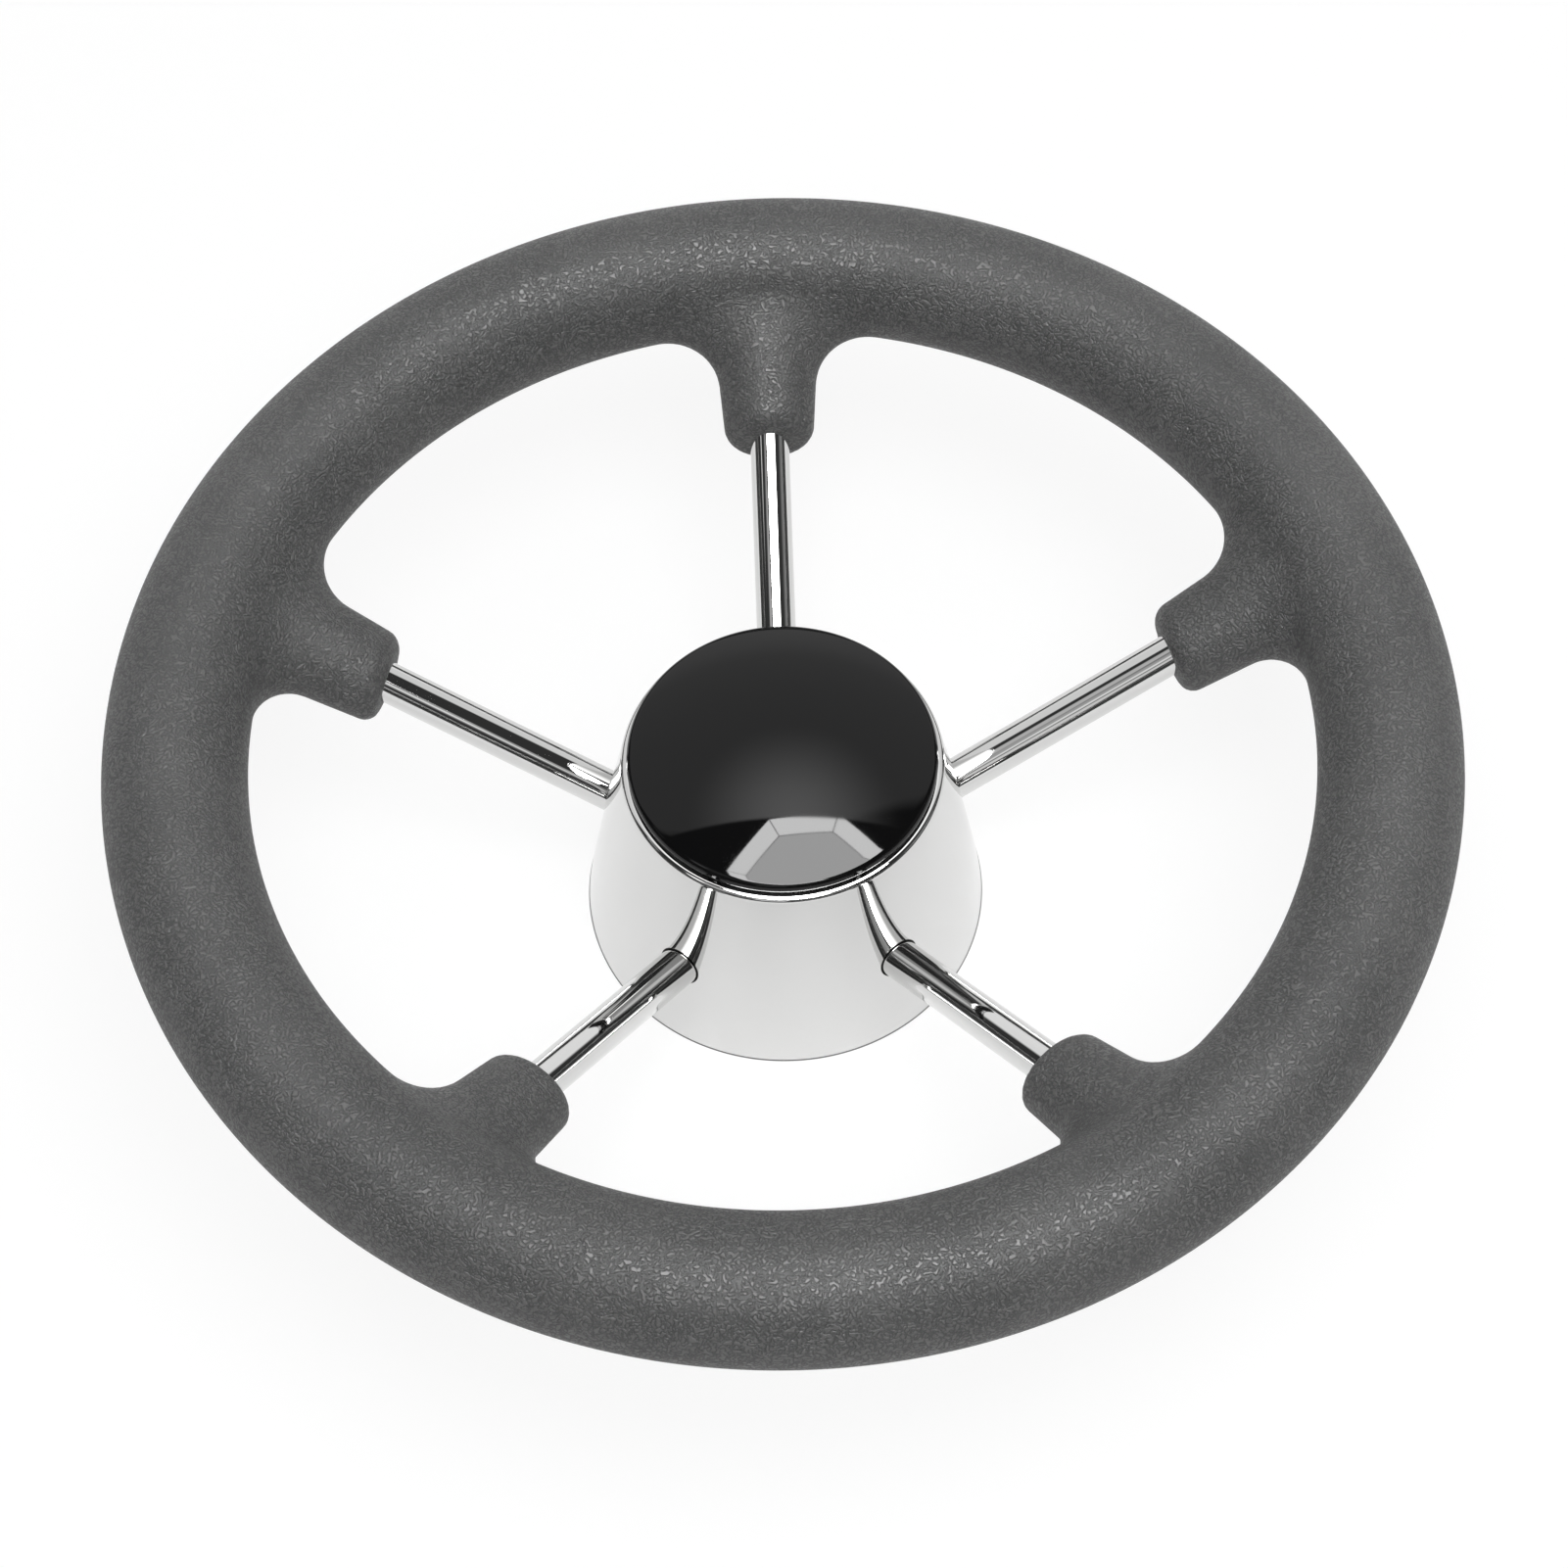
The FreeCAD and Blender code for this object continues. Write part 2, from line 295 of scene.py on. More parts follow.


# %% [markdown]
# ## The grip's skin
# The grip is self-skinned foam, and its mould was etched with a leather grain: low cells, a millimetre
# or so long, parted by finer creases. A ridged noise is such a net of lines, so one less the noise is
# the cells' height. A slow noise pushes the net about, so that no two patches look alike, and another
# fades it in and out a little, as the skin parts from the mould unevenly. Creases lose their shine, so
# the same net roughens the skin there; it also darkens the creases in the colour, as painted shade.

# %% Grip foam
CELL_SCALE = 980.0
CREASE_DEPTH = 0.31 * MM
SWELL_SCALE = 650.0
SWELL_HEIGHT = 0.24 * MM
SWELL_STRENGTH = 0.6
WANDER_SCALE = 260.0
WANDER = 0.6 * MM
PATCH_SCALE = 28.0
PATCH_COLOUR_SCALE = 35.0
CREASE_SPAN = (0.35, 0.95)
PATCH_SPAN = (0.35, 0.65)
LEAST_GRAIN = 0.75
SHADE_SPAN = (0.2, 0.85)
CREASE_SHADE_SHARE = 0.6
PATCH_SHARE = 0.5
# The crease grey is painted shade in the creases; the cell grey is the skin's own colour.
CREASE_SHADE_GREY = (0.038, 0.039, 0.039, 1)
CELL_GREY = (0.097, 0.097, 0.096, 1)
CREASE_ROUGHNESS = 0.6
CELL_ROUGHNESS = 0.46


def wandering(finish, scale, distance):
    """The finish's place, pushed about by a slow noise of three numbers less one half each."""
    push = finish.node("ShaderNodeTexNoise", Vector=finish.place, Scale=scale, Detail=1.0).outputs["Color"]
    centred = finish.vector("SUBTRACT", _0=push, _1=(0.5, 0.5, 0.5))
    scaled = finish.vector("SCALE", _0=centred, Scale=distance)
    return finish.vector("ADD", _0=finish.place, _1=scaled)


def grip_foam():
    """Leather grain: cells by one less a ridged noise, over soft swellings a little larger."""
    skin = Finish("grip_foam", Specular_IOR_Level=0.6)
    creases = skin.node(
        "ShaderNodeTexNoise", {"noise_type": "RIDGED_MULTIFRACTAL", "normalize": True},
        Vector=wandering(skin, WANDER_SCALE, WANDER), Scale=CELL_SCALE,
        Detail=2.0, Roughness=0.5, Offset=0.9, Gain=1.6,
    ).outputs["Fac"]
    cells = skin.ranged(creases, CREASE_SPAN, (1.0, 0.0))
    fading = skin.ranged(skin.noise(PATCH_SCALE), PATCH_SPAN, (LEAST_GRAIN, 1.0))
    swellings = skin.bump(skin.noise(SWELL_SCALE), SWELL_HEIGHT, SWELL_STRENGTH)
    grain = skin.bump(skin.math("MULTIPLY", cells, fading), CREASE_DEPTH, Normal=swellings)
    skin.link(grain, "Normal")
    patches = skin.math("MULTIPLY", skin.noise(PATCH_COLOUR_SCALE, 3.0), PATCH_SHARE)
    # Painted shade: the cells' net darkens the colour in the creases, and the slow patches add the skin's
    # own uneven tone.
    shade = skin.math("ADD", skin.math("MULTIPLY", cells, CREASE_SHADE_SHARE), patches)
    lightness = skin.ranged(shade, SHADE_SPAN, (0.0, 1.0))
    skin.link(skin.mixed_colour(lightness, CREASE_SHADE_GREY, CELL_GREY), "Base Color")
    skin.link(skin.ranged(cells, (0.0, 1.0), (CREASE_ROUGHNESS, CELL_ROUGHNESS)), "Roughness")
    return skin.material


# %% [markdown]
# ## Polished steel
# The tubes and the bell are stainless steel, buffed to a mirror. A mirror is almost all surroundings,
# so the shader is simple: full metal, hardly any roughness, and a trace of unevenness from the buffing
# wheel that only softens a reflection here and there.

# %% Steel finishes
MIRROR_COLOUR = (0.675, 0.675, 0.67, 1)
MIRROR_ROUGHNESS = (0.02, 0.05)
BUFFING_HEIGHT = 0.4 * MM
TURNED_COLOUR = (0.55, 0.55, 0.53, 1)
TURNED_ROUGHNESS = (0.28, 0.45)
TOOL_MARKS_SCALE = 26000.0
TOOL_MARKS_HEIGHT = 0.02 * MM
WELD_STRAW = (0.50, 0.45, 0.36, 1)
WELD_BLUE = (0.30, 0.31, 0.36, 1)
WELD_RIPPLE_HEIGHT = 0.3 * MM


def polished_steel():
    steel = Finish("polished_steel", Base_Color=MIRROR_COLOUR, Metallic=1.0)
    buffing = steel.noise(60.0, 4.0, 0.6)
    steel.link(steel.ranged(buffing, NOISE_SPAN, MIRROR_ROUGHNESS), "Roughness")
    steel.link(steel.bump(steel.noise(25.0), BUFFING_HEIGHT, 0.012), "Normal")
    return steel.material


def turned_steel():
    """The tool's marks run round the part, so they are waves of its height."""
    steel = Finish("turned_steel", Base_Color=TURNED_COLOUR, Metallic=1.0)
    height = steel.node("ShaderNodeSeparateXYZ", Vector=steel.place).outputs["Z"]
    marks = steel.math("SINE", steel.math("MULTIPLY", height, TOOL_MARKS_SCALE))
    steel.link(steel.bump(marks, TOOL_MARKS_HEIGHT, 0.4), "Normal")
    steel.link(steel.ranged(steel.noise(120.0, 4.0), NOISE_SPAN, TURNED_ROUGHNESS), "Roughness")
    return steel.material


def weld_steel():
    """Beads with fine ripples, coloured straw and blue by their heat."""
    steel = Finish("weld_steel", Metallic=1.0, Roughness=0.4)
    heat = steel.ranged(steel.noise(220.0, 3.0), PATCH_SPAN, (0.0, 1.0))
    steel.link(steel.mixed_colour(heat, WELD_STRAW, WELD_BLUE), "Base Color")
    ripples = steel.node(
        "ShaderNodeTexVoronoi", {"feature": "F1"}, Vector=steel.place, Scale=900.0
    ).outputs["Distance"]
    steel.link(steel.bump(ripples, WELD_RIPPLE_HEIGHT, 0.6), "Normal")
    return steel.material


# %% [markdown]
# ## The cap and its seal
# The cap is moulded in black plastic with a high gloss. Even a good moulding is not quite a mirror: a
# very slow ripple bends its reflections. The seal under it is plain matt rubber.

# %% Plastic and rubber
CAP_BLACK = (0.004, 0.004, 0.0042, 1)
CAP_ROUGHNESS = (0.02, 0.05)
CAP_RIPPLE_HEIGHT = 0.3 * MM
SEAL_BLACK = (0.02, 0.02, 0.02, 1)
SEAL_GRAIN_HEIGHT = 0.05 * MM


def gloss_black():
    gloss = Finish("gloss_black", Base_Color=CAP_BLACK, Specular_IOR_Level=0.27)
    gloss.link(gloss.bump(gloss.noise(45.0, 1.0), CAP_RIPPLE_HEIGHT, 0.04), "Normal")
    gloss.link(gloss.ranged(gloss.noise(90.0, 3.0), NOISE_SPAN, CAP_ROUGHNESS), "Roughness")
    return gloss.material


def seal_rubber():
    rubber = Finish("seal_rubber", Base_Color=SEAL_BLACK, Roughness=0.7)
    rubber.link(rubber.bump(rubber.noise(1500.0, 3.0), SEAL_GRAIN_HEIGHT, 0.3), "Normal")
    return rubber.material


FINISHES = {
    "grip_foam": grip_foam(),
    "polished_steel": polished_steel(),
    "plain_steel": turned_steel(),
    "weld_steel": weld_steel(),
    "gloss_black": gloss_black(),
    "seal_rubber": seal_rubber(),
}
print("finishes:", ", ".join(FINISHES))

# %% [markdown]
# ## Pieces that stay as they are
# The ring in the foam, the hub, the weld beads and the seal keep their own meshes. They only get the
# finish that the record names for them.

# %% Finish the frame's own nodes
SLOT_OF = {row["node"]: row["material_slot"] for row in frame["record"]["subparts"]}
for node_name, node in nodes.items():
    node.data.materials.clear()
    node.data.materials.append(FINISHES[SLOT_OF[node_name]])
    print(f"{node_name}: {SLOT_OF[node_name]}")

# %% [markdown]
# ## The grip as one smooth field
# A blended moulding is hard to draw as patches, and easy as a field: a function that is negative in
# the foam and positive outside. The rim is the distance to a circle less the grip's radius. A gusset is
# the near-distance to an oval whose size shrinks along the spoke. All five gussets are alike, so each
# point is first turned into the sector of its own spoke.
#
# The two are joined as a ball would roll along the corner between them. From the ball's middle, both
# surfaces are one radius away. How far a point is from that middle follows from how far the two fields
# still have to rise to the radius, and from the angle between their slopes. A simple rounded sum would
# take that angle as square, and would swell where the gusset leaves the rim at a shallow angle.

# %% The grip's field
GUSSET_REACH = 50.0 * MM
GUSSET_END = np.array([12.0, 11.25]) * MM
GUSSET_ROOT = np.array([16.0, 13.5]) * MM
GUSSET_END_SLANT = math.radians(15)
GUSSET_END_ROUNDING = 4.0 * MM
GUSSET_FILLET = 15.0 * MM
SLOPE_STEP = 0.02 * MM
FLATTEST_CORNER = 0.995


def slope(field, points):
    """The field's slope by central differences, one axis at a time."""
    rises = [field(points + step) - field(points - step) for step in np.eye(3) * SLOPE_STEP]
    return np.stack([rise / (2 * SLOPE_STEP) for rise in rises], -1)


def unit_slope(field, points):
    way = slope(field, points)
    return way / np.maximum(np.linalg.norm(way, axis=-1, keepdims=True), 1e-9)


def rolling_ball_union(a, b, likeness, radius):
    """Fields a and b, whose slopes' dot product is the likeness, joined as by a ball in their corner."""
    to_a, to_b = radius - a, radius - b
    square = (to_a**2 + to_b**2 - 2 * likeness * to_a * to_b) / (1 - likeness**2)
    to_middle = np.sqrt(np.maximum(square, 0))
    nearer = np.minimum(a, b)
    in_corner = (to_a > likeness * to_b) & (to_b > likeness * to_a) & (nearer < radius)
    return np.where(in_corner, np.minimum(radius - to_middle, nearer), nearer)


def round_overlap(a, b, radius):
    """What is inside both fields, with their shared edge rounded."""
    past_a, past_b = np.maximum(radius + a, 0), np.maximum(radius + b, 0)
    return np.minimum(-radius, np.maximum(a, b)) + np.hypot(past_a, past_b)


def along_the_spoke(x, y, z):
    """Distance down the nearest spoke from the ring, level distance across it, and height above it."""
    angle = np.arctan2(y, x) - FIRST_SPOKE
    angle -= SECTOR * np.round(angle / SECTOR)
    reach = np.hypot(x, y)
    outward = reach * np.cos(angle) - ring_radius
    rise = z - rim_height
    down = -outward * math.cos(DISH) - rise * math.sin(DISH)
    above = rise * math.cos(DISH) - outward * math.sin(DISH)
    return down, reach * np.sin(angle), above


def rim_field(points):
    x, y, z = np.moveaxis(points, -1, 0)
    return np.hypot(np.hypot(x, y) - ring_radius, z - rim_height) - grip_radius


def gusset_field(points):
    """A tapered oval: its half width and half depth go evenly from the root's to the end's."""
    down, across, above = along_the_spoke(*np.moveaxis(points, -1, 0))
    share = np.clip(down / GUSSET_REACH, 0, 1)
    half_width = GUSSET_ROOT[0] + share * (GUSSET_END[0] - GUSSET_ROOT[0])
    half_depth = GUSSET_ROOT[1] + share * (GUSSET_END[1] - GUSSET_ROOT[1])
    scaled = np.hypot(across / half_width, above / half_depth)
    steep = np.hypot(across / half_width**2, above / half_depth**2) + 1e-9
    side = scaled * (scaled - 1) / steep
    end = (down - GUSSET_REACH) * math.cos(GUSSET_END_SLANT) + above * math.sin(GUSSET_END_SLANT)
    return round_overlap(side, end, GUSSET_END_ROUNDING)


def grip_field(points):
    """The rim alone outside the spokes' inward reach, and the rim with its gussets within it."""
    rim, gusset = rim_field(points), gusset_field(points)
    down = along_the_spoke(*np.moveaxis(points, -1, 0))[0]
    near = (down > 0) & (np.abs(rim) < 2 * GUSSET_FILLET) & (np.abs(gusset) < 2 * GUSSET_FILLET)
    field = np.where(down > 0, np.minimum(rim, gusset), rim)
    spots = points[near]
    likeness = (unit_slope(rim_field, spots) * unit_slope(gusset_field, spots)).sum(-1)
    likeness = np.clip(likeness, -FLATTEST_CORNER, FLATTEST_CORNER)
    field[near] = rolling_ball_union(rim[near], gusset[near], likeness, GUSSET_FILLET)
    return field


# %% [markdown]
# ## A net over the field
# To turn the field into a skin, it is sampled on a grid of small cubes. Each cube that the surface
# passes through gets one point, and each grid edge that crosses the surface gets a quad between the
# points of its four cubes. The points then slide down the field's slope onto the surface, with a few
# rounds of evening out between, so the net is regular and lies on the true form.

# %% Net the field
GRIP_CELL = 1.5 * MM
EVENING_ROUNDS = 5


def onto_surface(field, points):
    """One step down the slope: the field's value over the slope's length, along the slope."""
    way = slope(field, points)
    return points - field(points)[:, None] * way / np.maximum((way**2).sum(1), 1e-6)[:, None]


def net_quads(inside, numbers):
    """Four cube numbers for each grid edge whose ends differ, wound so that faces look outwards."""
    quads = []
    for axis in range(3):
        u, v = (axis + 1) % 3, (axis + 2) % 3
        start = [slice(1, -1)] * 3
        start[axis] = slice(0, -1)
        ahead = list(start)
        ahead[axis] = slice(1, None)
        first, second = inside[tuple(start)], inside[tuple(ahead)]
        cell = np.argwhere(first != second)
        leaving = first[tuple(cell.T)]
        offset = np.ones(3, int)
        offset[axis] = 0
        cell = cell + offset
        to_u, to_v = np.eye(3, dtype=int)[u], np.eye(3, dtype=int)[v]
        ring = [cell - to_u - to_v, cell - to_v, cell, cell - to_u]
        quad = np.stack([numbers[tuple(part.T)] for part in ring], 1)
        quad[~leaving] = quad[~leaving][:, ::-1]
        quads.append(quad)
    return np.concatenate(quads)


def evened(points, quads):
    """Each point moved to the mean of the middles of the quads that meet there."""
    middles = points[quads].mean(1)
    corner = quads.ravel()
    count = np.bincount(corner, minlength=len(points))
    sums = [np.bincount(corner, np.repeat(middles[:, axis], 4), len(points)) for axis in range(3)]
    return np.stack(sums, 1) / count[:, None]


def netted(field, low, high, cell):
    """The field's zero surface as points and quads."""
    ticks = [np.arange(a - 2 * cell, b + 2 * cell, cell) for a, b in zip(low, high)]
    grid = np.stack(np.meshgrid(*ticks, indexing="ij"), -1)
    inside = field(grid) < 0
    corners = [
        inside[i:len(ticks[0]) - 1 + i, j:len(ticks[1]) - 1 + j, k:len(ticks[2]) - 1 + k]
        for i in (0, 1) for j in (0, 1) for k in (0, 1)
    ]
    count = np.sum(corners, 0)
    crossed = (count > 0) & (count < len(corners))
    numbers = np.full(crossed.shape, -1)
    numbers[crossed] = np.arange(crossed.sum())
    points = np.array([tick[0] for tick in ticks]) + (np.argwhere(crossed) + 0.5) * cell
    quads = net_quads(inside, numbers)
    for _ in range(EVENING_ROUNDS):
        points = onto_surface(field, evened(points, quads))
    return onto_surface(field, onto_surface(field, points)), quads


grip_points, grip_quads = netted(grip_field, grip_low, grip_high, GRIP_CELL)
grip = make_piece("grip_moulding", grip_points, grip_quads, merge=False)
dress(grip, FINISHES["grip_foam"], "grip_foam", "foam_grip")
off_surface = np.abs(grip_field(grip_points)).max()
print(f"grip: {len(grip_quads)} quads, at most {off_surface:.6f} m off the field's surface")

# %% [markdown]
# ## Spokes
# A spoke is a straight tube with a saddle at each end, where it was cut to sit on the ring and on the
# hub. Round the tube, each of its long lines runs from the ring's surface to the hub's. The outer wall
# goes down, the wall's thickness is crossed, and the bore comes back: a grid that closes both ways.

# %% Spoke tubes
SPOKE_STEPS_ROUND = 96
SPOKE_STEPS_ALONG = 48
NEWTON_STEPS = 12


def spoke_axes(angle):
    """Unit vectors: level and outwards, level and across, down the spoke, and up from the spoke."""
    outward = np.array([math.cos(angle), math.sin(angle), 0])
    across = np.array([-math.sin(angle), math.cos(angle), 0])
    up = np.array([0, 0, 1])
    down = -outward * math.cos(DISH) - up * math.sin(DISH)
    above = up * math.cos(DISH) - outward * math.sin(DISH)
    return outward, across, down, above


def ring_saddle(across, above):
    """How far down a long line leaves the ring: Newton steps on the distance to the ring's circle."""
    down = np.full_like(across, ring_tube_radius)
    for _ in range(NEWTON_STEPS):
        outward = ring_radius - down * math.cos(DISH) - above * math.sin(DISH)
        rise = above * math.cos(DISH) - down * math.sin(DISH)
        reach = np.hypot(outward, across) - ring_radius
        gap = np.hypot(reach, rise) - ring_tube_radius
        down = down - gap
    return down


def hub_saddle(across, above):
    """How far down a long line meets the hub: where its outward part is the hub's half chord there."""
    half_chord = np.sqrt(hub_radius**2 - across**2)
    return (ring_radius - above * math.sin(DISH) - half_chord) / math.cos(DISH)


def spoke_tube(name, angle):
    """Rows run down the outer wall and back up the bore; columns run round the tube."""
    _, across, down, above = spoke_axes(angle)
    root = np.array([math.cos(angle), math.sin(angle), 0]) * ring_radius + np.array([0, 0, rim_height])
    turn = np.linspace(0, 2 * math.pi, SPOKE_STEPS_ROUND, endpoint=False)
    share = np.linspace(0, 1, SPOKE_STEPS_ALONG)[:, None]
    walls = []
    for radius, way in ((SPOKE_RADIUS, share), (SPOKE_RADIUS - SPOKE_WALL, share[::-1])):
        u, w = radius * np.cos(turn), radius * np.sin(turn)
        start, end = ring_saddle(u, w), hub_saddle(u, w)
        distance = start + way * (end - start)
        walls.append(
            root + distance[..., None] * down + u[None, :, None] * across + w[None, :, None] * above
        )
    grid = np.concatenate(walls)
    faces = lattice(len(grid), SPOKE_STEPS_ROUND, wrap_rows=True, wrap_columns=True)
    return make_piece(name, grid.reshape(-1, 3), faces)


for number in range(SPOKE_COUNT):
    tube = spoke_tube(f"polished_spoke_{number + 1}", FIRST_SPOKE + number * SECTOR)
    dress(tube, FINISHES["polished_steel"], "polished_steel", f"spoke_{number + 1}")

# %% [markdown]
# ## Turned profiles
# The bell and the cap are turned shapes: a profile of radii and heights, carried round the axis.
# Sharp corners of a profile are rounded with arcs whose radius a maker would call the roll.

# %% Profiles and turning
TURN_STEPS_PER_SECTOR = 48
TURN_STEPS = TURN_STEPS_PER_SECTOR * SPOKE_COUNT
TURN_ANGLES = FIRST_SPOKE + np.linspace(-SECTOR / 2, 2 * math.pi - SECTOR / 2, TURN_STEPS, endpoint=False)


def roll(before, corner, after, radius, steps=10):
    """An arc in place of a corner: it touches both runs where they are radius x tan(half turn) away."""
    before, corner, after = np.array(before), np.array(corner), np.array(after)
    way_in, way_out = unit(before - corner), unit(after - corner)
    half = math.acos(np.clip(way_in @ way_out, -1, 1)) / 2
    centre = corner + unit(way_in + way_out) * radius / math.sin(half)
    touch_in = corner + way_in * radius / math.tan(half)
    touch_out = corner + way_out * radius / math.tan(half)
    first, last = (math.atan2(*(touch - centre)[::-1]) for touch in (touch_in, touch_out))
    sweep = (last - first + math.pi) % (2 * math.pi) - math.pi
    angle = first + np.linspace(0, 1, steps + 1) * sweep
    return centre + radius * np.stack([np.cos(angle), np.sin(angle)], 1)


def turned(profile, angles):
    """Points of a profile at each angle: radius by cosine and sine, height as it is."""
    radius, height = profile[:, 0, None], profile[:, 1, None]
    flat = np.ones_like(angles)
    return np.stack([radius * np.cos(angles), radius * np.sin(angles), height * flat], -1)


# %% [markdown]
# ## The bell
# The bell is one drawn sheet: a wall that bulges very slightly, a rolled shoulder, a ledge for the cap
# and a neck turned down inside. Five spokes pass through it. A hole that is merely cut into a mirror
# leaves ragged facets, so the wall is woven round each hole instead: every line of the weave starts on
# the hole's edge and ends on the border of that spoke's fifth of the wall. Its points are then put on
# the true wall, so the reflections run past the hole without a ripple.

# %% The bell's wall
WEAVE_ACROSS = TURN_STEPS_PER_SECTOR
WEAVE_UP = 40
WEAVE_RINGS = 26
WEAVE_CROWDING = 1.4
HALVINGS = 40
LIP = 0.25 * MM
LIP_STEPS = 5
BASE_EDGE_ROUND = 0.45 * MM
BASE_EDGE_STEPS = 5


def wall_poles(depth):
    """The wall's curve at a depth under its face, by three poles: base, crest and shoulder."""
    lean = math.atan2(bell_base_radius - BELL_SHOULDER_RADIUS, bell_height)
    base = np.array([bell_base_radius - depth / math.cos(lean), 0])
    shoulder_radius = BELL_SHOULDER_RADIUS - depth / math.cos(lean) + depth * math.tan(lean)
    shoulder = np.array([shoulder_radius, bell_height - depth])
    outwards = np.array([math.cos(lean), math.sin(lean)])
    return base, (base + shoulder) / 2 + outwards * 2 * BELL_BULGE, shoulder


def wall_profile(share, depth):
    """The quadratic curve through the poles, at shares from 0 at the base to 1 at the shoulder."""
    base, crest, shoulder = wall_poles(depth)
    share = np.asarray(share)[..., None]
    return base * (1 - share) ** 2 + crest * 2 * share * (1 - share) + shoulder * share**2


def wall_point(angle, share, depth):
    """A place on the wall: its profile turned to an angle, counted from the sector's spoke."""
    radius, height = np.moveaxis(wall_profile(share, depth), -1, 0)
    return np.stack([radius * np.cos(angle), radius * np.sin(angle), height], -1)


def off_the_spoke(point):
    """Distance from the axis of the spoke that lies over the x axis."""
    outward, across, down, _ = spoke_axes(0)
    offset = point - (outward * ring_radius + np.array([0, 0, rim_height]))
    along = offset @ down
    return np.sqrt(np.maximum((offset**2).sum(-1) - along**2, 0))


def spoke_crossing(depth):
    """The share of the wall's height at which the spoke's axis passes through it, by halving."""
    low, high = 0.0, 1.0
    for _ in range(HALVINGS):
        middle = (low + high) / 2
        radius, height = wall_profile(middle, depth)
        axis_height = rim_height - (ring_radius - radius) * math.tan(DISH)
        low, high = (middle, high) if height < axis_height else (low, middle)
    return low


def hole_edge(border, depth, radius):
    """For each way from the hole's middle to the border, where the wall is a radius off the axis."""
    centre = np.array([0, spoke_crossing(depth)])
    way = border - centre
    low, high = np.zeros(len(way)), np.ones(len(way))
    for _ in range(HALVINGS):
        middle = (low + high) / 2
        spot = centre + way * middle[:, None]
        too_near = off_the_spoke(wall_point(spot[:, 0], spot[:, 1], depth)) < radius
        low, high = np.where(too_near, middle, low), np.where(too_near, high, middle)
    return centre + way * low[:, None]


def sector_border(base_share, top_share):
    """Angle and height share round a sector's border: along the base, up, back along the top, down."""
    half = SECTOR / 2
    across = np.linspace(-half, half, WEAVE_ACROSS + 1)
    up = np.linspace(base_share, top_share, WEAVE_UP + 1)
    return np.concatenate([
        np.stack([across[:-1], np.full(WEAVE_ACROSS, base_share)], 1),
        np.stack([np.full(WEAVE_UP, half), up[:-1]], 1),
        np.stack([across[:0:-1], np.full(WEAVE_ACROSS, top_share)], 1),
        np.stack([np.full(WEAVE_UP, -half), up[:0:-1]], 1),
    ])


def woven_sector(depth, border, radius):
    """Rings of points from the hole's edge to the sector's border, closer together near the hole."""
    edge = hole_edge(border, depth, radius)
    share = np.linspace(0, 1, WEAVE_RINGS)[:, None, None] ** WEAVE_CROWDING
    spot = edge + share * (border - edge)
    return wall_point(spot[..., 0], spot[..., 1], depth)


def hole_lip(border):
    """The hole's rounded outer edge and its bore: a curve in from the wall, then straight through."""
    hole = SPOKE_RADIUS + HOLE_CLEARANCE
    rings = []
    for depth, radius in ((0.0, hole + LIP), (0.0, hole), (LIP, hole), (BELL_SHEET, hole)):
        spot = hole_edge(border, depth, radius)
        rings.append(wall_point(spot[:, 0], spot[:, 1], depth))
    share = np.linspace(0, 1, LIP_STEPS + 1)[:, None, None]
    curve = rings[0] * (1 - share) ** 2 + rings[1] * 2 * share * (1 - share) + rings[2] * share**2
    return np.concatenate([curve, rings[3][None]])


def about_z(points, angle):
    c, s = math.cos(angle), math.sin(angle)
    return points @ np.array([[c, s, 0], [-s, c, 0], [0, 0, 1]])


# %% The bell's rolled top and its skin
def wall_share_at(depth, base_run=0.0, top_run=0.0):
    """The wall's share a short run above its base or below its shoulder."""
    base, crest, shoulder = wall_poles(depth)
    if base_run:
        return base_run / (2 * np.linalg.norm(crest - base))
    return 1 - top_run / (2 * np.linalg.norm(shoulder - crest))


def top_profile(depth, shoulder_roll, neck_roll):
    """From the wall's top over the shoulder, along the ledge and down the neck, at a depth."""
    _, crest, shoulder = wall_poles(depth)
    ledge = bell_height - depth
    neck = NECK_RADIUS + depth
    neck_end = bell_height - NECK_DEPTH
    over_shoulder = roll(crest, shoulder, (neck, ledge), shoulder_roll)
    over_neck = roll(shoulder, (neck, ledge), (neck, neck_end), neck_roll)
    return np.concatenate([over_shoulder, over_neck, [[neck, neck_end]]])


def base_profile():
    """The sheet's cut edge at the base, from the outer wall round to the inner one."""
    outer, inner = wall_poles(0.0), wall_poles(BELL_SHEET)
    outside = roll(outer[1], outer[0], inner[0], BASE_EDGE_ROUND, BASE_EDGE_STEPS)
    inside = roll(outer[0], inner[0], inner[1], BASE_EDGE_ROUND, BASE_EDGE_STEPS)
    return np.concatenate([outside, inside])


